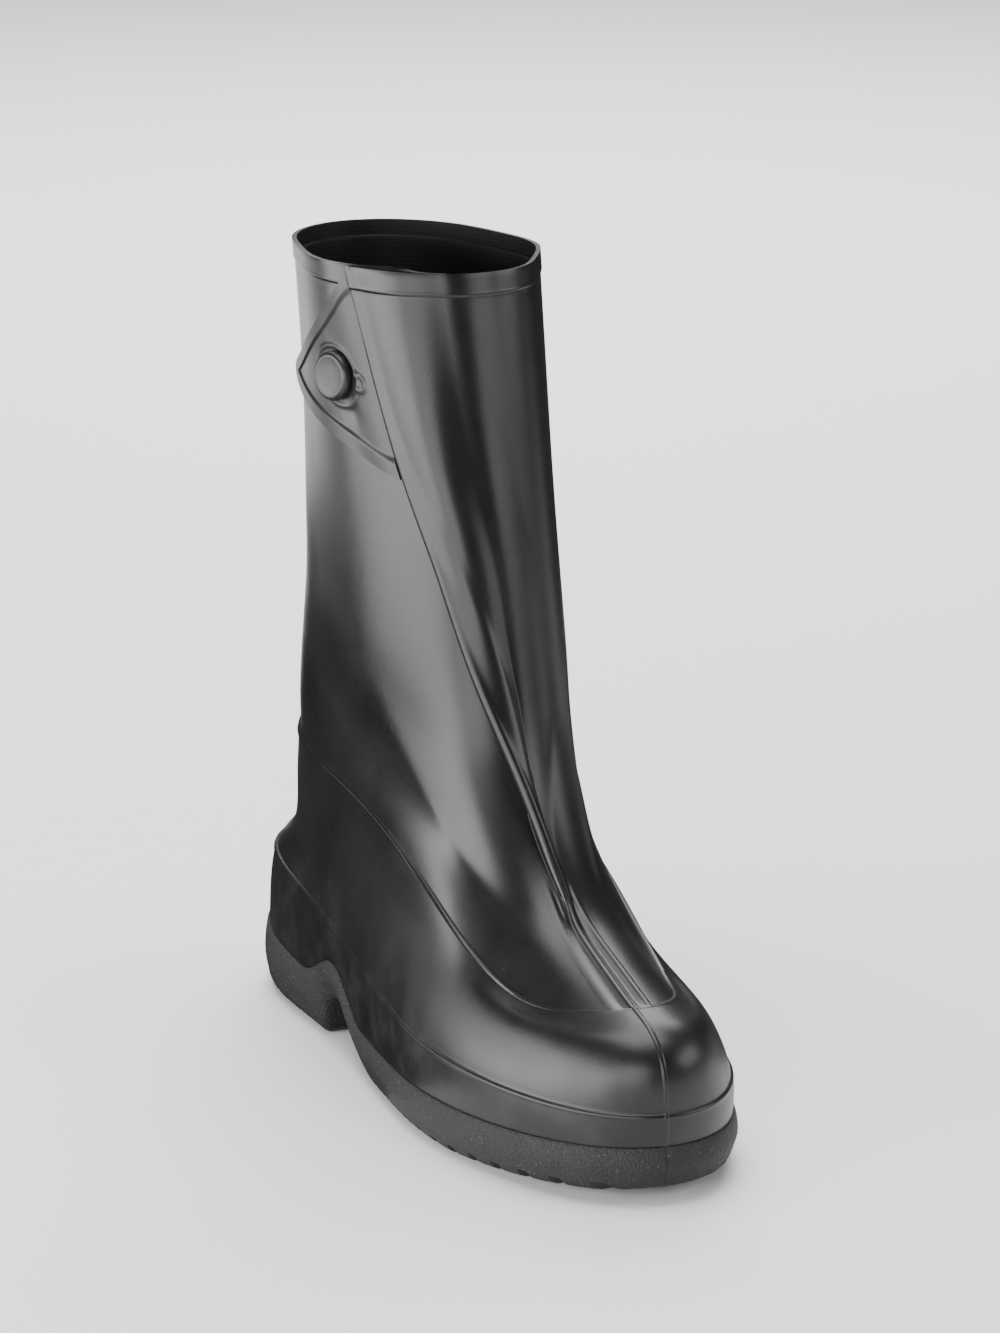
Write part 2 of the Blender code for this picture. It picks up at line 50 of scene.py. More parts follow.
# The last, one row for each section from the sole's edge to the collar. front and back are Y, the z_
# columns are the section's heights at its stations, and the w_ columns are its half widths there.
HEIGHT_COLUMNS = ("z_front", "z_toe", "z_ball", "z_waist", "z_back")
WIDTH_COLUMNS = ("w_toe", "w_ball", "w_waist", "w_heel")
COLUMNS = ("front", "back", *HEIGHT_COLUMNS, *WIDTH_COLUMNS)
SECTIONS = {
    "sole edge": (-0.1580, 0.1580, 0.0225, 0.0205, 0.0185, 0.0190, 0.0300, 0.0412, 0.0498, 0.0378, 0.0360),
    "foxing line": (-0.1585, 0.1555, 0.0340, 0.0345, 0.0375, 0.0480, 0.0600, 0.0408, 0.0493, 0.0385, 0.0345),
    "toe wall": (-0.1570, 0.1470, 0.0495, 0.0490, 0.0530, 0.0650, 0.0715, 0.0355, 0.0452, 0.0380, 0.0308),
    "toe crown": (-0.1485, 0.1385, 0.0595, 0.0568, 0.0665, 0.0865, 0.0970, 0.0318, 0.0395, 0.0372, 0.0334),
    "overlay line": (-0.1335, 0.1335, 0.0650, 0.0608, 0.0832, 0.1078, 0.1180, 0.0276, 0.0350, 0.0376, 0.0341),
    "vamp": (-0.1035, 0.1305, 0.0750, 0.0780, 0.1070, 0.1250, 0.1360, 0.0226, 0.0316, 0.0387, 0.0338),
    "instep": (-0.0795, 0.1275, 0.0860, 0.0930, 0.1270, 0.1430, 0.1520, 0.0220, 0.0336, 0.0398, 0.0328),
    "high instep": (-0.0595, 0.1245, 0.1040, 0.1130, 0.1430, 0.1580, 0.1670, 0.0240, 0.0370, 0.0405, 0.0316),
    "throat": (-0.0415, 0.1215, 0.1300, 0.1380, 0.1620, 0.1740, 0.1810, 0.0268, 0.0394, 0.0405, 0.0302),
    "ankle": (-0.0310, 0.1190, 0.1560, 0.1620, 0.1800, 0.1900, 0.1950, 0.0288, 0.0403, 0.0400, 0.0297),
    "shin": (-0.0215, 0.1175, 0.1950, 0.1980, 0.2080, 0.2140, 0.2170, 0.0291, 0.0406, 0.0399, 0.0296),
    "calf": (-0.0110, 0.1195, 0.2500, 0.2510, 0.2560, 0.2600, 0.2620, 0.0282, 0.0417, 0.0396, 0.0289),
    "collar": (-0.0005, 0.1245, 0.3130, 0.3132, 0.3136, 0.3140, 0.3142, 0.0272, 0.0428, 0.0402, 0.0297),
}
ROW = {name: float(number) for number, name in enumerate(SECTIONS)}
ROW_STEP = 0.01
NORMAL_STEP = 0.02
HEIGHT_STATIONS = (0.0, 0.13, 0.36, 0.64, 1.0)
WIDTH_STATIONS = (0.0, 0.13, 0.36, 0.64, 0.86, 1.0)
TOE_BLUNTNESS = 1.08
HEEL_BLUNTNESS = 1.36

# The toe swings towards the inner side of the foot and the waist towards the outer side.
TOE_SWING = 0.0028
TOE_SWING_START = -0.0325
TOE_SWING_REACH = 0.110
WAIST_SWING = 0.0015
WAIST = 0.0275
WAIST_REACH = 0.070
SWING_TOP = 0.060
SWING_FADE = 0.060

# The sole's side wall rises in an arch over the front of the heel.
EAR_RISE = 0.0142
EAR_CENTRE = 0.0515
EAR_HALF_LENGTH = 0.037

# The front pleat. A row for each height on the front: how far round its folded edge lies, how deep the
# fold is, the angle in degrees that it stands up, and the width and depth of the band pressed along it.
PLEAT_COLUMNS = ("height", "crease", "depth", "lean", "band", "press")
PLEAT = (
    (0.0880, 0.0000, 0.0000, 90.0, 0.0030, 0.0000),
    (0.1050, 0.0020, 0.0025, 84.0, 0.0030, 0.0000),
    (0.1250, 0.0060, 0.0062, 60.0, 0.0045, 0.0001),
    (0.1450, 0.0105, 0.0098, 36.0, 0.0070, 0.0003),
    (0.1650, 0.0155, 0.0130, 20.0, 0.0090, 0.0005),
    (0.2050, 0.0245, 0.0190, 8.0, 0.0080, 0.0004),
    (0.2400, 0.0345, 0.0245, 5.0, 0.0042, 0.0004),
    (0.3130, 0.0520, 0.0350, 4.0, 0.0028, 0.0002),
)
PLEAT_PITCH = WALL + 0.0006
PLEAT_FILLET = 0.019
RIDGE_FILLET = 0.0025
BAND_EDGE = 0.0011
BAND_SLOPE = 0.0055
BAND_SHARE = 0.75
CROWN_RISE = 2.0
CROWN_DEPTH = 0.022
RIDGE_LEAD = 0.008
RIDGE_GROWTH = 0.012
FRONT_STRIP = (-0.0050, 0.0050)

# Points along the pleat's path: up its foot, over the fold, round its edge, back under it, round its root
FOOT_POINTS = 13
OVER_POINTS = 21
EDGE_POINTS = 9
UNDER_POINTS = 9
ROOT_POINTS = 7
PANEL_POINTS = 98

# The layers behind the fold stand away from it at the rim.
HALF_FOLD = FOOT_POINTS + OVER_POINTS - 2 + EDGE_POINTS // 2
GAPE = 0.0085
GAPE_FROM = 0.300
GAPE_CENTRE = 0.039
GAPE_HALF_LENGTH = 0.0115

# Lines of the mould, as rows of the last, with the bead along each and the step of the wall across it
COLLAR_LINE = 11.875
LINE_BEAD = {1.0: 0.00085, 4.0: 0.00080, COLLAR_LINE: 0.00010}
LINE_STEP = {1.0: FOXING_STEP, 4.0: OVERLAY_STEP, COLLAR_LINE: -COLLAR_BAND_STEP}
LINE_GUARD = {1.0: 0.20, 4.0: 0.22, COLLAR_LINE: 0.06}
BEAD_HALF_WIDTH = 0.00075
LINE_GUARD_BELOW = 1.7
BEAD_TOE_SHARE = 0.32
BEAD_TOE = -0.120
BEAD_TOE_REACH = 0.090
STEP_HALF_WIDTH = 0.00045
LINE_OFFSETS = (
    -0.0030, -0.0021, -0.0015, -0.0011, -0.0008, -0.00055, -0.00035, -0.00015, 0.00005, 0.00025, 0.00045,
    0.0007, 0.0010, 0.0014, 0.0020, 0.0029,
)
PARTING_X = -0.0010
PARTING_HALF_WIDTH = 0.00050
PARTING_HEIGHT = 0.00038
PARTING_FRONT = -0.060
PARTING_BACK_REACH = 0.01
SHAFT_FRONT = 0.05

# The upper's rings between its lines: from row, to row and how many
ROW_SPANS = (
    (0.0, 1.0, 9),
    (1.0, 4.0, 36),
    (4.0, COLLAR_LINE, 62),
    (COLLAR_LINE, ROW["collar"], 3),
)

# The lines pressed over the instep, either side of the middle
GROOVES_LOW = 0.0640
GROOVES_HIGH = 0.0900
GROOVES_LOW_FADE = 0.003
GROOVES_HIGH_FADE = 0.006
GROOVE_SPREAD = 0.0064
GROOVE_TAPER = 0.02
GROOVE_WIDTH_SHARE = 0.30
GROOVE_DEPTH = 0.00085
GROOVE_LIP = 0.00045
GROOVE_LIP_HALF_WIDTH = 0.0006

# Dents and swells of the soft wall, at a distance round from the front and a height. slope is the angle
# in degrees that the long way makes with the floor.
DENT_COLUMNS = ("distance", "height", "length", "width", "slope", "rise")
DENTS = (
    (0.118, 0.150, 0.040, 0.018, 24.0, -0.0003),
    (-0.092, 0.136, 0.034, 0.012, -22.0, -0.0007),
    (-0.078, 0.114, 0.026, 0.010, -34.0, 0.0006),
    (-0.070, 0.245, 0.055, 0.018, 86.0, 0.0005),
    (0.100, 0.205, 0.050, 0.020, 84.0, -0.0004),
    (-0.050, 0.075, 0.020, 0.008, -8.0, -0.0004),
    (0.162, 0.150, 0.024, 0.009, 12.0, -0.0005),
    (-0.150, 0.146, 0.024, 0.009, -12.0, -0.0005),
)

# The satin rubbers: dark tone, light tone and roughness
UPPER_TONES = (0.003, 0.009, 0.335)
TAB_TONES = (0.008, 0.017, 0.40)
BUTTON_TONES = (0.008, 0.017, 0.38)

# Finish of the meshes
WELD = 0.00002
RIM_ROUND = 0.0005
RIM_ANGLE = 70
SMOOTH_ANGLE = 50
SOLE_SMOOTH_ANGLE = 38

# The outsole. Its tables are rows of Y and height.
TOE_SPRING_TIP = 0.0072
ARCH_TOP = 0.0180
HEEL_BREAST = 0.0630
UNDERSIDE = (
    (-0.1645, TOE_SPRING_TIP), (-0.1475, 0.0047), (-0.1275, 0.0032), (-0.1025, 0.0015), (-0.0775, 0.0000),
    (0.0035, 0.0000), (0.0155, 0.0024), (0.0275, 0.0078), (0.0375, 0.0140), (0.0465, ARCH_TOP - 0.0008),
    (0.0530, ARCH_TOP), (HEEL_BREAST - 0.0040, ARCH_TOP - 0.0018),
    (HEEL_BREAST - 0.0022, ARCH_TOP - 0.0050), (HEEL_BREAST - 0.0010, ARCH_TOP / 2),
    (HEEL_BREAST, 0.0045), (HEEL_BREAST + 0.0012, 0.0018),
    (HEEL_BREAST + 0.0030, 0.0004), (HEEL_BREAST + 0.0048, 0.0000), (0.1675, 0.0000),
)
FOOTBED = (
    (-0.1625, 0.0150), (-0.0625, 0.0125), (-0.0025, 0.0150),
    (0.0495, 0.0275), (0.0825, 0.0255), (0.1625, 0.0240),
)
RIM_INNER_LIP = 0.0006
RIM_INNER_DROP = 0.0009
RIM_CORNER = 0.0004
SOLE_FLOOR_LIP = 0.0025
SOLE_PARTING_DEPTH = 0.0005
LUG_DEPTH = 0.0030
LUG_PITCH = 0.0128
LUG_GROOVE = 0.0044
LUG_CHEVRON = 0.010
LUG_HALF_WIDTH = 0.075
FIRST_FOREPART_GROOVE = -0.0105
LAST_FOREPART_GROOVE = -0.1525
LAST_HEEL_GROOVE = 0.1495
UNDER_FLOOR = 0.004
LUG_EDGE = 0.0006
SOLE_PANEL_POINTS = 260
SOLE_FRONT_POINTS = 41

# The side wall as shares of its height, downwards, and bulges, and the corner as insets and rises
SOLE_SIDE = (
    (0.00, 0.0000), (0.06, 0.0003), (0.14, 0.0006), (0.25, 0.0009), (0.38, 0.0011), (0.50, 0.0012),
    (0.62, 0.0011), (0.74, 0.0008), (0.84, 0.0004), (0.90, 0.0001),
)
SOLE_CORNER = (
    (-0.0002, 0.0056), (-0.0004, 0.0050), (-0.0008, 0.0040), (-0.0013, 0.0029), (-0.0020, 0.0017),
    (-0.0030, 0.0007), (-0.0042, 0.0000),
)

# The closure tab. A row for each share of the way to its tip: its upper and its lower edge.
TAB_WALL = 0.0018
TAB_TIP_DISTANCE = 0.114
TAB_EDGES = (
    (0.00, 0.3095, 0.2350),
    (0.12, 0.3025, 0.2368),
    (0.24, 0.2955, 0.2388),
    (0.36, 0.2885, 0.2408),
    (0.48, 0.2818, 0.2427),
    (0.60, 0.2754, 0.2446),
    (0.72, 0.2695, 0.2465),
    (0.84, 0.2645, 0.2487),
    (0.93, 0.2610, 0.2508),
    (0.98, 0.2582, 0.2530),
    (1.00, 0.2560, 0.2550),
)
TAB_LIFT_REACH = 0.020
TAB_REST = FIT_GAP + 0.0002
TAB_BORDER = 0.0046
TAB_BORDER_RISE = 0.0007
TAB_GROOVE = 0.0003
TAB_UPPER_SLOPE = math.cos(math.radians(32))
TAB_LOWER_SLOPE = 0.66
TAB_TUCK = 0.0008
TAB_TUCK_REACH = 0.003
TAB_BORDER_STEP = 0.0010
TAB_GROOVE_AWAY = 0.0008
TAB_GROOVE_HALF_WIDTH = 0.0005
TAB_EDGE_CLEAR = 0.0006
TAB_EDGE_FADE = 0.0012
TAB_COLUMNS = np.concatenate([np.linspace(0.0, 0.96, 110), np.linspace(0.965, 1.0, 10)])
TAB_ROWS = 72

# The button, and the relief round its hole, whose places are measured from the button's middle
BUTTON_DISTANCE = 0.064
BUTTON_HEIGHT = 0.2675
BUTTON_RADIUS = 0.0095
BUTTON_THICKNESS = 0.0036
BUTTON_HOLE_RADIUS = 0.0042
BUTTON_STEM_RADIUS = 0.0033
BUTTON_CLEARANCE = 0.0009
HOLE_LIP_RADIUS = 0.0118
HOLE_LIP_RISE = 0.0006
HOLE_LIP_HALF_WIDTH = 0.0009
NOTCH_PLACE = (-0.0125, 0.0005)
NOTCH_RADIUS = 0.0030
NOTCH_RISE = 0.0007
NOTCH_FROM = 0.0105
DIMPLE_PLACE = (-0.007, -0.0135)
DIMPLE_RADIUS = 0.0042
DIMPLE_DEPTH = 0.0007

# The button's section, as shares of its radius and drops from its top
BUTTON_PROFILE = (
    (0.0, -0.0004), (0.35, -0.0004), (0.60, -0.0003), (0.74, -0.0001), (0.82, 0.0000), (0.89, -0.0002),
    (0.95, -0.0008), (0.985, -0.0015), (1.00, -0.0022), (0.995, -0.0028), (0.96, -0.0033), (0.90, -0.0036),
)


def smoothstep(value):
    """0 to 1 with flat ends."""
    share = np.clip(value, 0.0, 1.0)
    return share * share * (3.0 - 2.0 * share)


def bump_at(value, half_width):
    """A soft rounded rise around zero."""
    return np.exp(-((value / half_width) ** 2))


def spline(at, stations, values):
    """A natural cubic spline through values, which may hold a row of columns for each station."""
    stations = np.asarray(stations, float)
    values = np.asarray(values, float)
    count = len(stations)
    steps = np.diff(stations)
    slopes = np.diff(values, axis=0) / (steps if values.ndim == 1 else steps[:, None])
    system = np.eye(count)
    right = np.zeros_like(values)
    for i in range(1, count - 1):
        system[i, i - 1 : i + 2] = steps[i - 1], 2.0 * (steps[i - 1] + steps[i]), steps[i]
        right[i] = 6.0 * (slopes[i] - slopes[i - 1])
    bends = np.linalg.solve(system, right)
    at = np.clip(np.asarray(at, float), stations[0], stations[-1])
    i = np.clip(np.searchsorted(stations, at, side="right") - 1, 0, count - 2)
    step = steps[i]
    low, high = stations[i + 1] - at, at - stations[i]
    if values.ndim > 1:
        step, low, high = step[..., None], low[..., None], high[..., None]
    return (
        (bends[i] * low**3 + bends[i + 1] * high**3) / (6.0 * step)
        + (values[i] / step - bends[i] * step / 6.0) * low
        + (values[i + 1] / step - bends[i + 1] * step / 6.0) * high
    )


def last_points(row, turn):
    """Points of the last. turn runs from -pi at the back, along the inner side, to 0 at the front, to pi."""
    row, turn = np.broadcast_arrays(np.asarray(row, float), np.asarray(turn, float))
    table = np.array(list(SECTIONS.values()))
    at = dict(zip(COLUMNS, np.moveaxis(spline(row, np.arange(len(table)), table), -1, 0)))
    share = (1.0 - np.cos(turn)) / 2.0
    widths = [at[column] for column in WIDTH_COLUMNS]
    full = [w / math.sqrt(1.0 - (1.0 - 2.0 * s) ** 2) for w, s in zip(widths, WIDTH_STATIONS[1:-1])]
    blunt = 1.0 + (HEEL_BLUNTNESS - 1.0) * (1.0 - smoothstep(row / ROW["overlay line"]))
    full = np.stack([full[0] * TOE_BLUNTNESS, *full, full[-1] * blunt], axis=-1)
    weights = spline(share, WIDTH_STATIONS, np.eye(len(WIDTH_STATIONS)))
    half_width = np.abs(np.sin(turn)) * (weights * full).sum(axis=-1)
    heights = np.stack([at[column] for column in HEIGHT_COLUMNS], axis=-1)
    y = at["front"] + share * (at["back"] - at["front"])
    z = (spline(share, HEIGHT_STATIONS, np.eye(len(HEIGHT_STATIONS))) * heights).sum(axis=-1)
    reach = np.clip(np.abs(y - EAR_CENTRE) / EAR_HALF_LENGTH, 0.0, 1.0)
    z = z + EAR_RISE * np.cos(reach * math.pi / 2) ** 2 * (1.0 - smoothstep(row))
    toe = TOE_SWING * smoothstep((TOE_SWING_START - y) / TOE_SWING_REACH)
    waist = WAIST_SWING * np.cos(np.clip((y - WAIST) / WAIST_REACH, -1.0, 1.0) * math.pi / 2) ** 2
    sway = (toe - waist) * (1.0 - smoothstep((z - SWING_TOP) / SWING_FADE))
    return np.stack([-np.sign(turn) * half_width + sway, y, z], axis=-1)


def last_normals(row, turn):
    """Directions out of the last."""
    above = last_points(np.minimum(row + NORMAL_STEP, ROW["collar"]), turn)
    up = above - last_points(np.maximum(row - NORMAL_STEP, 0.0), turn)
    along = last_points(row, turn + NORMAL_STEP) - last_points(row, turn - NORMAL_STEP)
    normals = np.cross(up, along)
    return normals / np.linalg.norm(normals, axis=-1)[..., None]


class Ring:
    """A line round the last at one row, or at a fixed distance above or below one of the mould's lines.

    Distance along it is measured from the front and grows towards the outer side."""

    samples = np.linspace(-math.pi, math.pi, 1441)

    def __init__(self, row, line=None, offset=0.0):
        self.line, self.offset = line, offset
        self.rows = np.full(len(self.samples), float(row))
        if line is not None:
            for _ in range(3):
                here = np.clip(self.rows, ROW_STEP, ROW["collar"] - ROW_STEP)
                above = last_points(here + ROW_STEP, self.samples)
                below = last_points(here - ROW_STEP, self.samples)
                per_row = np.linalg.norm(above - below, axis=-1) / (2 * ROW_STEP)
                self.rows = line + offset / per_row
        points = last_points(self.rows, self.samples)
        lengths = np.concatenate([[0.0], np.cumsum(np.linalg.norm(np.diff(points, axis=0), axis=1))])
        self.distance = lengths - np.interp(0.0, self.samples, lengths)
        self.front_height = float(points[len(points) // 2, 2])

    def turns(self, distance):
        """Turns of the last at these distances."""
        return np.interp(distance, self.distance, self.samples)

    def place(self, distance, height=0.0):
        """Points at these distances along the ring, this far outside it."""
        turn = self.turns(distance)
        row = np.interp(turn, self.samples, self.rows)
        return last_points(row, turn) + last_normals(row, turn) * np.asarray(height, float)[..., None]

    def panels(self, inner_edge, outer_edge, count):
        """Distances over the inner and the outer panel, between the back and these edges at the front."""
        share = (np.arange(count) + 1.0) / (count + 1.0)
        inner_start, outer_start = self.turns(inner_edge), self.turns(outer_edge)
        inner = -math.pi + (inner_start + math.pi) * share
        outer = outer_start + (math.pi - outer_start) * share
        return (
            np.interp(inner, self.samples, self.distance),
            np.interp(outer, self.samples, self.distance),
        )


def row_at_height(height):
    """The row number of the section whose front is at this height."""
    rows = np.linspace(ROW["instep"], ROW["collar"], 600)
    return float(np.interp(height, last_points(rows, np.zeros(len(rows)))[:, 2], rows))


def pleat_at(height):
    """The pleat's measures at this height."""
    rows = np.array(PLEAT)
    values = spline(np.array([height]), rows[:, 0], rows)[0]
    return dict(zip(PLEAT_COLUMNS, values))


def arc_points(centre, radius, start, end, count):
    """Points on an arc between two angles in degrees."""
    angles = np.radians(np.linspace(start, end, count))
    return [(centre[0] + radius * math.cos(a), centre[1] + radius * math.sin(a)) for a in angles]


def pleat_path(height):
    """The pleat at this height, as distances and heights over the ring.

    It runs from the inner panel's edge up and over the fold, and back under it to the outer panel."""
    at = pleat_at(height)
    depth = max(at["depth"], 0.0)
    lean = math.radians(at["lean"])
    along = np.array([math.cos(lean), math.sin(lean)])
    out = np.array([-math.sin(lean), math.cos(lean)])
    half = PLEAT_PITCH / 2
    reach = (depth + half) * along[0] + PLEAT_PITCH * out[0]
    root = np.array([at["crease"] - reach, half])
    under_start, over_start = root + half * out, root + 3 * half * out
    tip = root + PLEAT_PITCH * out + depth * along
    fillet = RIDGE_FILLET + (PLEAT_FILLET - RIDGE_FILLET) * math.cos(lean)
    foot = np.array([over_start[0] - fillet, 0.0])
    path = []
    for share in np.linspace(0.0, 1.0, FOOT_POINTS):
        rise = smoothstep(share) * math.cos(lean) + share**2 * (1 - math.cos(lean))
        path.append((foot[0] + fillet * share, over_start[1] * rise))
    band = min(at["band"], BAND_SHARE * depth)
    for share in np.linspace(0.0, 1.0, OVER_POINTS)[1:-1]:
        from_tip = depth * (1.0 - share)
        side = BAND_SLOPE if from_tip > band else BAND_EDGE
        dip = at["press"] * float(bump_at(from_tip - band, side))
        crown = CROWN_RISE * min(depth, CROWN_DEPTH) * (share * (1.0 - share)) ** 2
        path.append(tuple(over_start + depth * share * along + (crown - dip) * out))
    tip_angle = at["lean"] + 90
    path += arc_points(tip, half, tip_angle, tip_angle - 180, EDGE_POINTS)
    for share in np.linspace(1.0, 0.0, UNDER_POINTS)[1:-1]:
        path.append(tuple(under_start + depth * share * along))
    path += arc_points(root, half, tip_angle, 270, ROOT_POINTS)
    return np.array(path)


def ring_points(ring):
    """The upper's points at one ring, in the middle of the wall, with the mould's relief."""
    height = ring.front_height
    folded = pleat_path(max(height, PLEAT[0][0]))
    flat = np.stack([np.linspace(*FRONT_STRIP, len(folded)), np.zeros(len(folded))], axis=1)
    grown = float(smoothstep((height - PLEAT[0][0] + RIDGE_LEAD) / RIDGE_GROWTH))
    pleat = flat * (1 - grown) + folded * grown
    inner, outer = ring.panels(pleat[0, 0], pleat[-1, 0], PANEL_POINTS)
    distance = np.concatenate([[ring.distance[0]], inner, pleat[:, 0], outer, [ring.distance[-1]]])
    over = np.concatenate([[0.0], np.zeros(len(inner)), pleat[:, 1], np.zeros(len(outer) + 1)])
    behind_fold = np.arange(len(over)) > len(inner) + HALF_FOLD
    gape = GAPE * smoothstep((height - GAPE_FROM) / (PLEAT[-1][0] - GAPE_FROM))
    over = over - gape * behind_fold * bump_at(distance - GAPE_CENTRE, GAPE_HALF_LENGTH)
    base = ring.place(distance)
    return ring.place(distance, over + relief(ring, distance, base, grown))


def line_relief(ring):
    """The steps at the mould's lines for a whole ring, and the beads along them."""
    total, beads = 0.0, 0.0
    for line, step in LINE_STEP.items():
        if ring.line == line:
            over_line = ring.offset
        else:
            over_line = math.copysign(1.0, float(ring.rows[0]) - line)
        below = 1.0 - float(smoothstep((over_line + STEP_HALF_WIDTH) / (2 * STEP_HALF_WIDTH)))
        total += step * below if step > 0 else -step * (1.0 - below)
        beads += LINE_BEAD[line] * float(bump_at(over_line, BEAD_HALF_WIDTH))
    return total, beads


def relief(ring, distance, base, grown):
    """How far the wall stands out at each point: steps, beads, parting line, instep grooves and dents."""
    x, y, z = base.T
    steps, beads = line_relief(ring)
    full_bead = smoothstep((y - BEAD_TOE) / BEAD_TOE_REACH)
    total = steps + beads * (BEAD_TOE_SHARE + (1.0 - BEAD_TOE_SHARE) * full_bead)
    at_back = np.abs(distance) > ring.distance[-1] - PARTING_BACK_REACH
    front_or_back = np.where((y < PARTING_FRONT) | at_back, 1.0, 0.0)
    middle = 1.0 - grown * (y < SHAFT_FRONT)
    total += PARTING_HEIGHT * bump_at(x - PARTING_X, PARTING_HALF_WIDTH) * front_or_back * middle
    height = ring.front_height
    over_low = smoothstep((height - GROOVES_LOW) / GROOVES_LOW_FADE)
    over_high = smoothstep((height - GROOVES_HIGH) / GROOVES_HIGH_FADE)
    in_zone = over_low * (1.0 - over_high) * (y < PARTING_FRONT)
    spread = GROOVE_SPREAD * (0.75 + 0.25 * smoothstep((GROOVES_HIGH - height) / GROOVE_TAPER))
    for side in (-1.0, 1.0):
        across = x - PARTING_X - side * spread / 2
        total -= GROOVE_DEPTH * in_zone * bump_at(across, spread * GROOVE_WIDTH_SHARE)
        total += GROOVE_LIP * in_zone * bump_at(x - PARTING_X - side * spread, GROOVE_LIP_HALF_WIDTH)
    for dent in DENTS:
        row = dict(zip(DENT_COLUMNS, dent))
        offset = np.stack([distance - row["distance"], z - row["height"]])
        turn = math.radians(row["slope"])
        long_way = offset[0] * math.cos(turn) + offset[1] * math.sin(turn)
        short_way = -offset[0] * math.sin(turn) + offset[1] * math.cos(turn)
        reach = (long_way / row["length"]) ** 2 + (short_way / row["width"]) ** 2
        total += row["rise"] * np.exp(-reach)
    return total


def wall_rings():
    """The rings of the upper from its lower edge to the rim, crowded at the mould's lines."""
    rings = []
    for low, high, count in ROW_SPANS:
        start = low + LINE_GUARD.get(low, 0.0)
        end = high - LINE_GUARD_BELOW * LINE_GUARD.get(high, 0.0)
        if low in LINE_STEP:
            rings += [Ring(low, low, offset) for offset in LINE_OFFSETS]
        rings += [Ring(row) for row in np.linspace(start, end, count)]
    return rings


def deselect():
    """Nothing stays selected."""
    for thing in bpy.context.selected_objects:
        thing.select_set(False)


def grid_sheet(name, columns_of_points):
    """A plane grid whose points are laid on a surface, row by row."""
    rows, count = len(columns_of_points), len(columns_of_points[0])
    deselect()
    bpy.ops.mesh.primitive_grid_add(x_subdivisions=count - 1, y_subdivisions=rows - 1, size=1.0)
    sheet = bpy.context.object
    sheet.name = sheet.data.name = name
    places = np.concatenate(columns_of_points).astype(np.float32)
    sheet.data.vertices.foreach_set("co", places.ravel())
    sheet.data.update()
    return sheet


def select_only(thing):
    """Makes this the one selected and active object."""
    deselect()
    bpy.context.view_layer.objects.active = thing
    thing.select_set(True)


def edit(thing):
    """Opens edit mode with everything in the mesh selected."""
    select_only(thing)
    bpy.ops.object.mode_set(mode="EDIT")
    bpy.ops.mesh.select_all(action="SELECT")


def leave_edit():
    """Back to object mode."""
    bpy.ops.object.mode_set(mode="OBJECT")


def tidy_normals(thing):
    """Welds what meets and turns all faces outwards."""
    edit(thing)
    bpy.ops.mesh.remove_doubles(threshold=WELD)
    bpy.ops.mesh.normals_make_consistent(inside=False)
    leave_edit()


def apply_modifiers(thing):
    """Applies all of its modifiers, in their order."""
    bpy.context.view_layer.objects.active = thing
    for modifier in list(thing.modifiers):
        bpy.ops.object.modifier_apply(modifier=modifier.name)


def shade_round(thing, degrees):
    """Smooth shading, with sharp edges above this angle."""
    select_only(thing)
    bpy.ops.object.shade_smooth_by_angle(angle=math.radians(degrees))


def add_wall(thing, thickness):
    """Gives a sheet its thickness, half to each side."""
    wall = thing.modifiers.new("wall", "SOLIDIFY")
    wall.thickness = thickness
    wall.offset = 0.0
    wall.use_even_offset = False
    wall.use_quality_normals = True
    return wall


def soften_edges(thing, width, segments, angle):
    """Rounds the edges that are sharper than this angle."""
    edges = thing.modifiers.new("edges", "BEVEL")
    edges.width = width
    edges.segments = segments
    edges.limit_method = "ANGLE"
    edges.angle_limit = math.radians(angle)
    edges.use_clamp_overlap = True


def cut_out(thing, cutter):
    """Cuts the cutter's shape out of a closed mesh, and removes the cutter."""
    cut = thing.modifiers.new("cut", "BOOLEAN")
    cut.operation = "DIFFERENCE"
    cut.solver = "EXACT"
    cut.object = cutter
    apply_modifiers(thing)
    bpy.data.objects.remove(cutter)


def close_with(thing, faces):
    """Adds faces, given by the numbers of their corners, then welds the mesh and turns it outwards."""
    mesh = bmesh.new()
    mesh.from_mesh(thing.data)
    mesh.verts.ensure_lookup_table()
    for corners in faces:
        mesh.faces.new([mesh.verts[corner] for corner in corners])
    bmesh.ops.remove_doubles(mesh, verts=mesh.verts, dist=WELD)
    bmesh.ops.recalc_face_normals(mesh, faces=mesh.faces)
    mesh.to_mesh(thing.data)
    mesh.free()


def make_upper():
    """The moulded upper: one wall from the sole's edge to the rim, with the pleat folded into it."""
    points = [ring_points(ring) for ring in wall_rings()]
    points[0] = points[0] + np.array([0.0, 0.0, FIT_GAP])
    upper = grid_sheet("moulded_upper", points)
    tidy_normals(upper)
    upper.data.materials.append(satin_rubber("satin black rubber of the upper", *UPPER_TONES))
    upper.data.materials.append(inner_rubber("matt rubber inside the shaft"))
    add_wall(upper, WALL).material_offset = 1
    soften_edges(upper, RIM_ROUND, 3, RIM_ANGLE)
    apply_modifiers(upper)
    shade_round(upper, SMOOTH_ANGLE)
    return upper


def bottom_height(y):
    """The height of the sole's underside."""
    return np.interp(y, *zip(*UNDERSIDE))


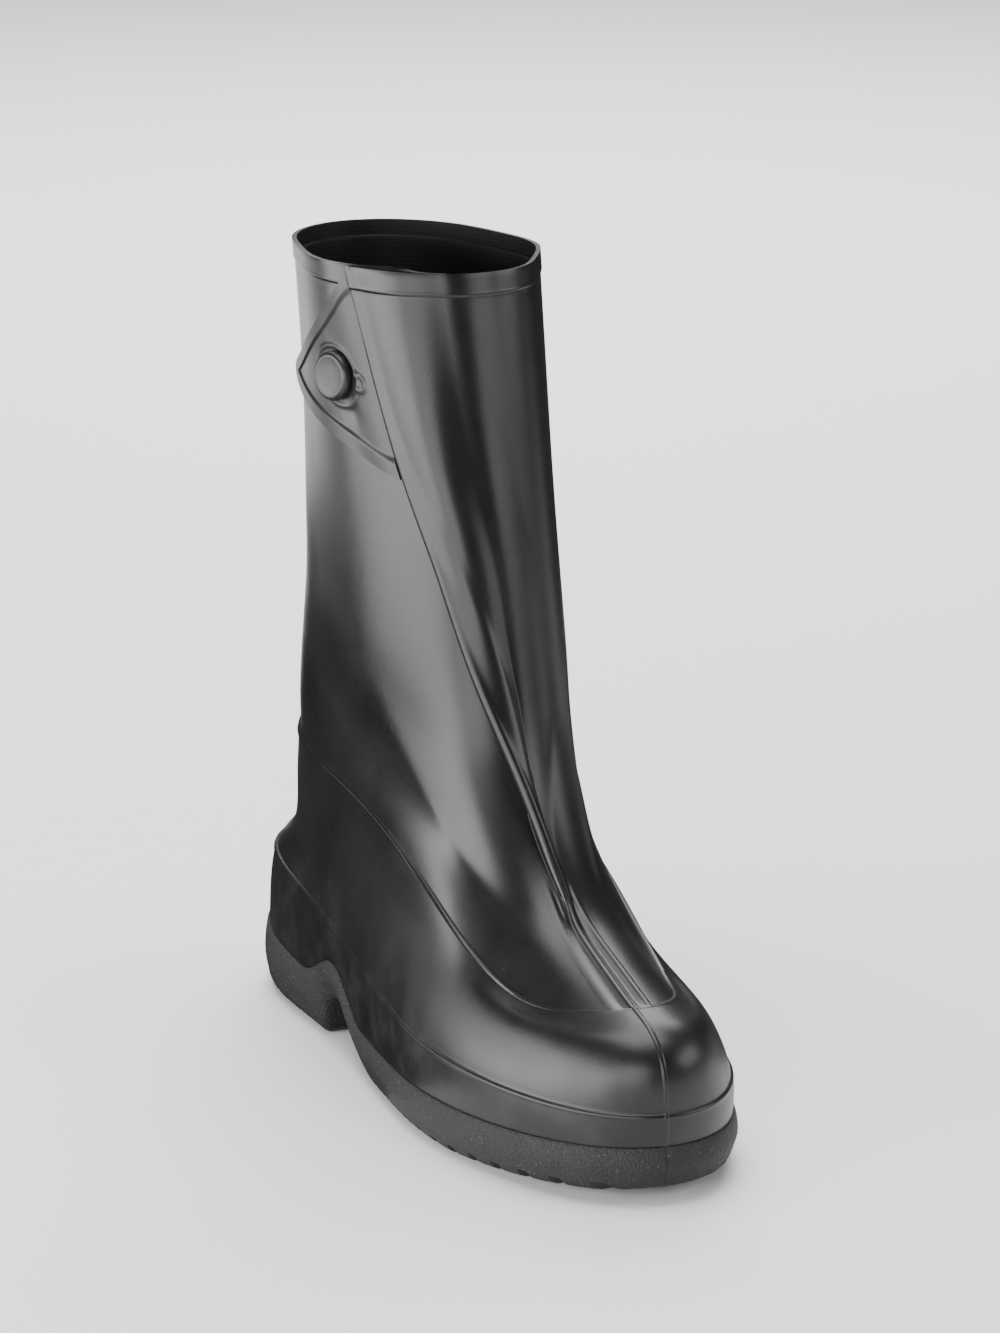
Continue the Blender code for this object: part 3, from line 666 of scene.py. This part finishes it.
def sole_loop(offset, height_of):
    """The sole's outline at an offset from the upper's edge. height_of takes Y and that edge's height."""
    ring = Ring(ROW["sole edge"])
    inner, outer = ring.panels(*FRONT_STRIP, SOLE_PANEL_POINTS)
    front = np.linspace(*FRONT_STRIP, SOLE_FRONT_POINTS)
    distance = np.concatenate([[ring.distance[0]], inner, front, outer])
    points = ring.place(distance, np.zeros(len(distance)))
    outward = ring.place(distance, np.ones(len(distance))) - points
    outward[:, 2] = 0.0
    outward /= np.linalg.norm(outward, axis=1)[:, None]
    groove = SOLE_PARTING_DEPTH * bump_at(points[:, 0] - PARTING_X, PARTING_HALF_WIDTH)
    groove = groove * (points[:, 1] < 0.0)
    moved = points + outward * (offset + FOXING_STEP + OVERLAY_STEP - groove * (offset > 0.0))[:, None]
    moved[:, 2] = height_of(points[:, 1], points[:, 2])
    return moved


def make_outsole():
    """The cupped outsole: footbed, rim, stippled side wall, rounded lower edge and lugs."""
    outer, inner = WALL / 2 + SOLE_STEP, -WALL / 2 - RIM_INNER_LIP
    lowest = SOLE_CORNER[0][1]

    def side_height(y, z, share):
        return (z - RIM_CORNER) * (1 - share) + (bottom_height(y) + lowest) * share

    loops = [
        sole_loop(inner - SOLE_FLOOR_LIP, lambda y, z: spline(y, *zip(*FOOTBED))),
        sole_loop(inner - RIM_CORNER, lambda y, z: z - RIM_INNER_DROP),
        sole_loop(inner, lambda y, z: z),
        sole_loop(outer - RIM_CORNER, lambda y, z: z),
        sole_loop(outer, lambda y, z: z - RIM_CORNER),
    ]
    for share, bulge in SOLE_SIDE[1:]:
        loops.append(sole_loop(outer + bulge, lambda y, z: side_height(y, z, share)))
    for inset, rise in SOLE_CORNER:
        loops.append(sole_loop(outer + inset, lambda y, z: bottom_height(y) + rise))
    closed = [np.concatenate([loop, loop[:1]]) for loop in loops]
    sole = grid_sheet("stippled_outsole", closed)
    count = len(closed[0])
    strips = []
    for first in (0, (len(closed) - 1) * count):
        for i in range(count // 2):
            strip = (first + i, first + i + 1, first + count - i - 2, first + count - i - 1)
            strips.append(tuple(dict.fromkeys(strip)))
    close_with(sole, strips)
    cut_grooves(sole)
    shade_round(sole, SOLE_SMOOTH_ANGLE)
    return sole


def cut_grooves(sole):
    """Cuts the chevron grooves between the lugs with one cutter for each."""
    forepart = np.arange(FIRST_FOREPART_GROOVE, LAST_FOREPART_GROOVE, -LUG_PITCH)
    heel = np.arange(HEEL_BREAST + LUG_PITCH, LAST_HEEL_GROOVE, LUG_PITCH)
    cutters = []
    for middle in np.concatenate([forepart, heel]):
        top = LUG_DEPTH + float(bottom_height(middle))
        deselect()
        bpy.ops.mesh.primitive_cube_add(size=1.0)
        bar = bpy.context.object
        bar.scale = (2 * LUG_HALF_WIDTH, LUG_GROOVE, top + UNDER_FLOOR)
        bpy.ops.object.transform_apply(location=False, rotation=False, scale=True)
        edit(bar)
        bpy.ops.mesh.bisect(plane_co=(0, 0, 0), plane_no=(1, 0, 0), use_fill=False)
        leave_edit()
        for vertex in bar.data.vertices:
            lead = LUG_CHEVRON * abs(vertex.co.x) / LUG_HALF_WIDTH
            vertex.co.y += middle + lead
            vertex.co.z += (top - UNDER_FLOOR) / 2
        cutters.append(bar)
    deselect()
    for bar in cutters:
        bar.select_set(True)
    bpy.context.view_layer.objects.active = cutters[0]
    bpy.ops.object.join()
    grooves = bpy.context.object
    soften_edges(grooves, LUG_EDGE, 2, 60)
    apply_modifiers(grooves)
    cut_out(sole, grooves)


def tab_height_over_panel(past_crease):
    """How far the tab's middle lies outside the last, at a distance past the fold's edge."""
    resting = WALL / 2 + TAB_WALL / 2 + TAB_REST
    at_crease = 2.0 * PLEAT_PITCH
    return resting + (at_crease - resting) * (1.0 - smoothstep(past_crease / TAB_LIFT_REACH))


def tab_start(height):
    """How far round the tab begins, just past the fold's edge."""
    return pleat_at(height)["crease"] + PLEAT_PITCH / 2 + WALL / 2 + FIT_GAP


def tab_relief(distance, height, upper, lower):
    """The raised border, the buttonhole's lip with its keyhole notch, and the dimple by the button."""
    from_edge = np.minimum((upper - height) * TAB_UPPER_SLOPE, (height - lower) * TAB_LOWER_SLOPE)
    past_border = (from_edge - TAB_BORDER + TAB_BORDER_STEP / 2) / TAB_BORDER_STEP
    border = TAB_BORDER_RISE * (1.0 - smoothstep(past_border))
    from_groove = from_edge - TAB_BORDER - TAB_GROOVE_AWAY
    border = border - TAB_GROOVE * bump_at(from_groove, TAB_GROOVE_HALF_WIDTH)
    across, up = distance - BUTTON_DISTANCE, height - BUTTON_HEIGHT
    away = np.hypot(across, up)
    lip = HOLE_LIP_RISE * bump_at(away - HOLE_LIP_RADIUS, HOLE_LIP_HALF_WIDTH)
    notch = np.hypot(across - NOTCH_PLACE[0], up - NOTCH_PLACE[1]) - NOTCH_RADIUS
    lip = lip + NOTCH_RISE * bump_at(notch, HOLE_LIP_HALF_WIDTH) * (away > NOTCH_FROM)
    from_dimple = np.hypot(across - DIMPLE_PLACE[0], up - DIMPLE_PLACE[1])
    dimple = -DIMPLE_DEPTH * bump_at(from_dimple, DIMPLE_RADIUS)
    inside = smoothstep((from_edge - TAB_EDGE_CLEAR) / TAB_EDGE_FADE)
    return np.maximum(border, lip * inside) + dimple * inside


def make_tab():
    """The three-cornered tab with its border and buttonhole, as a closed sheet with a front and a back."""
    table = np.array(TAB_EDGES)
    shares = TAB_COLUMNS[:, None]
    upper = np.interp(shares, table[:, 0], table[:, 1])
    lower = np.interp(shares, table[:, 0], table[:, 2])
    heights = lower + (upper - lower) * np.linspace(0.0, 1.0, TAB_ROWS)[None, :]
    levels = np.linspace(heights.min(), heights.max(), 80)
    starts = np.interp(heights, levels, [tab_start(level) for level in levels])
    distances = starts + (TAB_TIP_DISTANCE - starts) * shares
    tucked = distances - TAB_TUCK * (1.0 - smoothstep((distances - starts) / TAB_TUCK_REACH))
    middle = tab_height_over_panel(distances - starts)
    raised = middle + TAB_WALL / 2 + tab_relief(distances, heights, upper, lower)
    front = over_panel(heights, tucked, raised)
    back = over_panel(heights, distances, middle - TAB_WALL / 2)
    tab = grid_sheet("button_tab", [*front, *back[::-1]])
    rows_count, count = heights.shape
    total = 2 * rows_count * count
    faces = []
    for side in (0, count - 1):
        for i in range(rows_count - 1):
            corners = [i * count + side, (i + 1) * count + side]
            corners += [total - (i + 2) * count + side, total - (i + 1) * count + side]
            faces.append(corners)
    faces.append([*range(count), *range(total - 1, total - 1 - count, -1)])
    close_with(tab, faces)
    deselect()
    bpy.ops.mesh.primitive_cylinder_add(vertices=48, radius=BUTTON_HOLE_RADIUS, depth=BUTTON_RADIUS * 3)
    hole = bpy.context.object
    hole.matrix_world = button_frame()
    cut_out(tab, hole)
    shade_round(tab, SMOOTH_ANGLE)
    return tab


def button_frame():
    """Where the button stands on the outer panel, with its Z outwards."""
    turns, rows = panel_turns(np.array([[BUTTON_HEIGHT]]), np.array([[BUTTON_DISTANCE]]))
    base = Vector(last_points(rows, turns)[0, 0])
    out = Vector(last_normals(rows, turns)[0, 0])
    return Matrix.Translation(base) @ out.to_track_quat("Z", "Y").to_matrix().to_4x4()


def make_button():
    """The moulded button, turned from its profile: a dished head, a rounded edge and the stem."""
    past_crease = BUTTON_DISTANCE - tab_start(BUTTON_HEIGHT)
    under_head = float(tab_height_over_panel(past_crease)) + TAB_WALL / 2 + BUTTON_CLEARANCE
    top = under_head + BUTTON_THICKNESS
    profile = [(BUTTON_RADIUS * share, top + drop) for share, drop in BUTTON_PROFILE]
    profile += [(BUTTON_STEM_RADIUS, under_head), (BUTTON_STEM_RADIUS, WALL / 2 + TAB_REST)]
    deselect()
    bpy.ops.mesh.primitive_circle_add(vertices=72, radius=profile[1][0], fill_type="TRIFAN")
    button = bpy.context.object
    button.name = button.data.name = "moulded_button"
    edit(button)
    bpy.ops.transform.translate(value=(0.0, 0.0, profile[1][1]))
    leave_edit()
    centre = min(button.data.vertices, key=lambda vertex: vertex.co.xy.length)
    centre.co.z = profile[0][1]
    edit(button)
    bpy.ops.mesh.select_mode(type="EDGE")
    bpy.ops.mesh.select_all(action="DESELECT")
    bpy.ops.mesh.select_non_manifold()
    for (before, level), (radius, height) in zip(profile[1:], profile[2:]):
        bpy.ops.mesh.extrude_region_move(TRANSFORM_OT_translate={"value": (0.0, 0.0, height - level)})
        narrowing = radius / before
        bpy.ops.transform.resize(value=(narrowing, narrowing, 1.0), center_override=(0, 0, height))
    bpy.ops.mesh.edge_face_add()
    bpy.ops.mesh.select_mode(type="VERT")
    bpy.ops.mesh.select_all(action="SELECT")
    bpy.ops.mesh.normals_make_consistent(inside=False)
    leave_edit()
    button.data.transform(button_frame())
    shade_round(button, SMOOTH_ANGLE)
    return button


def panel_turns(heights, distances):
    """Turn and row of the last for points given by front height and distance round."""
    levels = np.linspace(heights.min() - 0.001, heights.max() + 0.001, 60)
    rows_at = np.array([row_at_height(level) for level in levels])
    rings = [Ring(row) for row in rows_at]
    spans = np.linspace(0.0, 0.13, 131)
    table = np.array([ring.turns(spans) for ring in rings])
    level = (heights - levels[0]) / (levels[1] - levels[0])
    i = np.clip(level.astype(int), 0, len(levels) - 2)
    part = level - i
    rows = rows_at[i] * (1 - part) + rows_at[i + 1] * part
    j = np.clip((distances / spans[1]).astype(int), 0, len(spans) - 2)
    along = distances / spans[1] - j
    low = table[i, j] * (1 - along) + table[i, j + 1] * along
    high = table[i + 1, j] * (1 - along) + table[i + 1, j + 1] * along
    return low * (1 - part) + high * part, rows


def over_panel(heights, distances, away):
    """Points this far outside the last, at these front heights and distances round."""
    turns, rows = panel_turns(heights, distances)
    return last_points(rows, turns) + last_normals(rows, turns) * away[..., None]


class Wire:
    """A socket of a material, so that sums on it can be written as plain expressions."""

    def __init__(self, paint, socket):
        self.paint, self.socket = paint, socket

    def maths(self, operation, *terms, **settings):
        return self.paint.node("ShaderNodeMath", {"operation": operation, **settings}, terms)

    def __add__(self, other):
        return self.maths("ADD", self, other)

    def __mul__(self, other):
        return self.maths("MULTIPLY", self, other)

    def __sub__(self, other):
        return self.maths("SUBTRACT", self, other)

    def __rsub__(self, other):
        return self.maths("SUBTRACT", other, self)

    __radd__ = __add__
    __rmul__ = __mul__

    def clamped(self):
        """Kept between 0 and 1."""
        return self.maths("ADD", self, 0.0, use_clamp=True)

    def steps_from(self, start, end):
        """0 below start, 1 above end, smooth between."""
        settings = {"interpolation_type": "SMOOTHSTEP"}
        return self.paint.node("ShaderNodeMapRange", settings, {0: self, 1: start, 2: end, 3: 0.0, 4: 1.0})


class Paint:
    """A material under way."""

    def __init__(self, name):
        self.material = bpy.data.materials.new(name)
        self.material.use_nodes = True
        self.tree = self.material.node_tree
        self.shader = self.tree.nodes["Principled BSDF"]
        self.place = self.node("ShaderNodeTexCoord", {}, {}, output="Object")
        self.height = self.node("ShaderNodeSeparateXYZ", {}, [self.place], output="Z")

    def node(self, kind, settings, inputs, output=0):
        """Adds a node: its settings first, then its sockets' values or links."""
        made = self.tree.nodes.new(kind)
        for key, value in settings.items():
            setattr(made, key, value)
        pairs = inputs.items() if isinstance(inputs, dict) else enumerate(inputs)
        for key, value in pairs:
            self.feed(made.inputs[key], value)
        return Wire(self, made.outputs[output])

    def feed(self, socket, value):
        """Links a socket to a wire, or sets it."""
        if isinstance(value, Wire):
            self.tree.links.new(value.socket, socket)
        else:
            socket.default_value = value

    def noise(self, scale, detail=2.0, roughness=0.5, stretch=(1.0, 1.0, 1.0), shift=(0.0, 0.0, 0.0)):
        """Mottling between 0 and 1. scale is in waves for each metre."""
        moves = {"Vector": self.place, "Scale": stretch, "Location": shift}
        place = self.node("ShaderNodeMapping", {}, moves)
        inputs = {"Vector": place, "Scale": scale, "Detail": detail, "Roughness": roughness}
        return self.node("ShaderNodeTexNoise", {"noise_dimensions": "3D"}, inputs, output="Fac")

    def cells(self, scale):
        """Distance to the nearest of many scattered grains."""
        inputs = {"Vector": self.place, "Scale": scale, "Randomness": 1.0}
        return self.node("ShaderNodeTexVoronoi", {"feature": "F1"}, inputs, output="Distance")

    def mix(self, share, one, other):
        """Between two colours. This node's colour sockets are numbers 6 and 7, and its colour output is 2."""
        return self.node("ShaderNodeMix", {"data_type": "RGBA"}, {0: share, 6: one, 7: other}, output=2)

    def bump(self, height, depth):
        """Raises the surface by height times depth, in metres."""
        inputs = {"Height": height, "Distance": depth, "Strength": 1.0}
        return self.node("ShaderNodeBump", {}, inputs)

    def finish(self, colour, roughness, normal, level, coat=0.0, coat_roughness=0.2):
        """Feeds the shader. level is how strongly the surface mirrors, 0.5 being a usual plastic."""
        self.feed(self.shader.inputs["Base Color"], colour)
        self.feed(self.shader.inputs["Roughness"], roughness)
        self.feed(self.shader.inputs["Normal"], normal)
        self.shader.inputs["Metallic"].default_value = 0.0
        self.shader.inputs["Specular IOR Level"].default_value = level
        self.shader.inputs["Coat Weight"].default_value = coat
        self.shader.inputs["Coat Roughness"].default_value = coat_roughness
        return self.material


def shade(value):
    """A black or grey with a touch of blue."""
    return (value, value, value * 1.02, 1.0)


def satin_rubber(name, dark, light, rough):
    """Moulded black rubber: satin, faintly mottled, with dust specks, and a bloom low down."""
    paint = Paint(name)
    mottle = paint.noise(26.0, 4.0, 0.6)
    cloud = paint.noise(9.0, 3.0, 0.55, shift=(0.3, 0.1, 0.2))
    fine = paint.noise(900.0, 3.0, 0.6)
    flow = paint.noise(60.0, 3.0, 0.55, stretch=(1.0, 1.0, 0.35))
    specks = 1.0 - paint.cells(420.0).steps_from(0.05, 0.16)
    sparse = paint.noise(70.0, 2.0).steps_from(0.60, 0.68)
    dust = specks * sparse
    depth = (mottle * 0.55 + cloud * 0.45).steps_from(0.34, 0.68)
    colour = paint.mix(depth, shade(dark), shade(light))
    low_down = 1.0 - paint.height.steps_from(0.010, 0.085)
    bloom = (low_down * paint.noise(38.0, 5.0, 0.62).steps_from(0.42, 0.72)).clamped()
    colour = paint.mix(bloom * 0.18, colour, shade(0.075))
    colour = paint.mix(dust * 0.5, colour, shade(0.09))
    foot = 1.0 - paint.height.steps_from(0.045, 0.125)
    roughness = foot * 0.02 + rough + (mottle - 0.5) * 0.10 + (flow - 0.5) * 0.08
    roughness = (roughness + bloom * 0.10 + dust * 0.2).clamped()
    height = fine * 0.35 + flow * 0.9 + paint.noise(240.0, 2.0) * 0.45
    normal = paint.bump(height, 0.00007)
    return paint.finish(colour, roughness, normal, level=0.42, coat=0.06, coat_roughness=0.34)


def inner_rubber(name):
    """The inside of the boot: matt, with the fine cloth print of the last's cover."""
    paint = Paint(name)
    mottle = paint.noise(30.0, 4.0, 0.6)
    threads = {"Vector": paint.place, "Scale": 190.0, "Distortion": 0.6}
    weave = paint.node("ShaderNodeTexWave", {"bands_direction": "Z"}, threads, output="Fac")
    colour = paint.mix(mottle, shade(0.003), shade(0.008))
    height = weave * 0.5 + paint.noise(800.0, 2.0) * 0.5
    return paint.finish(colour, mottle * 0.15 + 0.55, paint.bump(height, 0.00006), level=0.22)


def stippled_rubber(name):
    """The sole's rubber: stippled all over, with painted highlights on the stipple tips, and dusty lugs."""
    paint = Paint(name)
    mottle = paint.noise(34.0, 4.0, 0.6)
    grains = paint.cells(1150.0)
    coarse = paint.cells(560.0)
    stipple = (1.0 - grains.steps_from(0.10, 0.62)) * 0.6 + (1.0 - coarse.steps_from(0.05, 0.55)) * 0.4
    pits = paint.noise(620.0, 3.0, 0.7)
    worn = paint.noise(48.0, 5.0, 0.65).steps_from(0.45, 0.75)
    ground = 1.0 - paint.height.steps_from(0.0004, 0.0045)
    colour = paint.mix(mottle * 0.6 + stipple * 0.4, shade(0.008), shade(0.030))
    # Painted highlights: the stipple tips are lightened in the colour to stand in for glints of light on the
    # grain tops.
    painted_tip_highlights = (stipple.steps_from(0.62, 0.95) * paint.noise(150.0, 3.0).steps_from(0.42, 0.62)).clamped()
    colour = paint.mix(painted_tip_highlights * 0.8, colour, shade(0.20))
    colour = paint.mix((ground * worn).clamped() * 0.5, colour, shade(0.10))
    roughness = (mottle * 0.10 + 0.60 + worn * 0.06).clamped()
    height = stipple + pits * 0.8
    return paint.finish(colour, roughness, paint.bump(height, 0.00042), level=0.36)


def matt_paper(name, value):
    """Plain paper or cloth for the studio."""
    paint = Paint(name)
    tone = paint.mix(paint.noise(3.0, 2.0), shade(value * 0.985), shade(value))
    return paint.finish(tone, 0.9, paint.bump(paint.noise(400.0, 2.0), 0.00005), level=0.2)


# Pieces
upper = make_upper()
outsole = make_outsole()
tab = make_tab()
button = make_button()

outsole.data.materials.append(stippled_rubber("stippled black rubber of the sole"))
tab.data.materials.append(satin_rubber("satin black rubber of the tab", *TAB_TONES))
button.data.materials.append(satin_rubber("satin black rubber of the button", *BUTTON_TONES))

for piece, node, slot in (
    (upper, "upper", "upper_rubber"),
    (outsole, "outsole", "outsole_rubber"),
    (tab, "closure_tab", "tab_rubber"),
    (button, "button", "button_rubber"),
):
    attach(piece, "root")
    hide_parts(node)


def make_floor():
    """The pale studio floor."""
    deselect()
    bpy.ops.mesh.primitive_plane_add(size=8.0, location=(0.0, 0.0, 0.0))
    floor = bpy.context.object
    floor.name = floor.data.name = "studio_floor"
    floor.data.materials.append(matt_paper("pale studio paper", 0.86))


def around(azimuth, distance, height):
    """A place round the shoe. Azimuth 0 is in front of the toe, and -90 is on the outer side."""
    angle = math.radians(azimuth)
    return Vector((distance * math.sin(angle), -distance * math.cos(angle), height))


def soft_light(name, place, aim, width, height, power):
    """An oblong soft light out of the camera's sight."""
    lamp = bpy.data.lights.new(name, "AREA")
    lamp.shape = "RECTANGLE"
    lamp.size, lamp.size_y = width, height
    lamp.energy = power
    holder = bpy.data.objects.new(name, lamp)
    bpy.context.scene.collection.objects.link(holder)
    holder.location = place
    holder.rotation_euler = (aim - place).to_track_quat("-Z", "Y").to_euler()
    holder.visible_camera = False


def dark_card(name, place, aim, width, height):
    """A black card out of the camera's sight, for the dark edges of the rubber's reflections."""
    deselect()
    bpy.ops.mesh.primitive_plane_add(size=1.0)
    card = bpy.context.object
    card.name = card.data.name = name
    card.scale = (width, height, 1.0)
    card.location = place
    card.rotation_euler = (aim - place).to_track_quat("Z", "Y").to_euler()
    card.data.materials.append(matt_paper(name + " cloth", 0.012))
    card.visible_camera = card.visible_diffuse = card.visible_shadow = False


# Lights round the shoe: azimuth in degrees, distance, height above the floor, width, height and power
LIGHT_COLUMNS = ("azimuth", "distance", "level", "width", "height", "power")
LIGHTS = {
    "long softbox on the outer side": (-93.0, 1.25, 0.29, 1.74, 0.50, 29.0),
    "softbox beside the camera": (-38.0, 1.35, 0.45, 0.85, 0.60, 10.0),
    "softbox on the inner side": (58.0, 1.20, 0.60, 0.90, 0.50, 5.5),
    "overhead softbox": (0.0, 0.01, 1.70, 1.40, 1.20, 33.0),
    "wash over the floor behind": (155.0, 2.10, 1.90, 2.20, 2.00, 130.0),
}
SHOE_MIDDLE = Vector((0.0, 0.0, 0.17))

# Dark cards: place, the point that each faces, width and height
DARK_CARDS = {
    "dark card on the inner side": (around(128.0, 0.70, 0.30), (0.0, 0.0, 0.15), 0.60, 0.60),
    "dark card beside the heel": ((-0.28, 0.36, 0.002), (-0.28, 0.36, 1.0), 0.68, 0.76),
    "dark card at the inner side's foot": ((0.34, 0.28, 0.002), (0.34, 0.28, 1.0), 0.54, 0.62),
    "low dark card behind the heel": (around(-155.0, 0.56, 0.050), (0.0, 0.0, 0.050), 0.62, 0.100),
}
ROOM_TONE = (0.92, 0.92, 0.92, 1.0)
ROOM_STRENGTH = 0.09

make_floor()
for name, row in LIGHTS.items():
    at = dict(zip(LIGHT_COLUMNS, row))
    place = around(at["azimuth"], at["distance"], at["level"])
    aim = Vector((place.x, place.y, 0.0)) if "wash" in name else SHOE_MIDDLE
    soft_light(name, place, aim, at["width"], at["height"], at["power"])
for name, (place, aim, width, height) in DARK_CARDS.items():
    dark_card(name, Vector(place), Vector(aim), width, height)

world = bpy.data.worlds.new("pale studio")
bpy.context.scene.world = world
world.use_nodes = True
background = world.node_tree.nodes["Background"]
background.inputs["Color"].default_value = ROOM_TONE
background.inputs["Strength"].default_value = ROOM_STRENGTH

# Camera, fitted to the photograph's view of the shoe
CAMERA_PLACE = Vector((-0.7300, -1.5981, 0.6188))
CAMERA_AIM = Vector((0.0015, -0.0125, 0.1645))
LENS_MM = 172.3
SENSOR_MM = 36.0
lens = bpy.data.cameras.new("studio camera")
camera = bpy.data.objects.new("studio camera", lens)
bpy.context.scene.collection.objects.link(camera)
bpy.context.scene.camera = camera
lens.sensor_fit = "HORIZONTAL"
lens.sensor_width = SENSOR_MM
lens.lens = LENS_MM
lens.clip_start = 0.05
camera.location = CAMERA_PLACE
camera.rotation_euler = (CAMERA_AIM - CAMERA_PLACE).to_track_quat("-Z", "Y").to_euler()
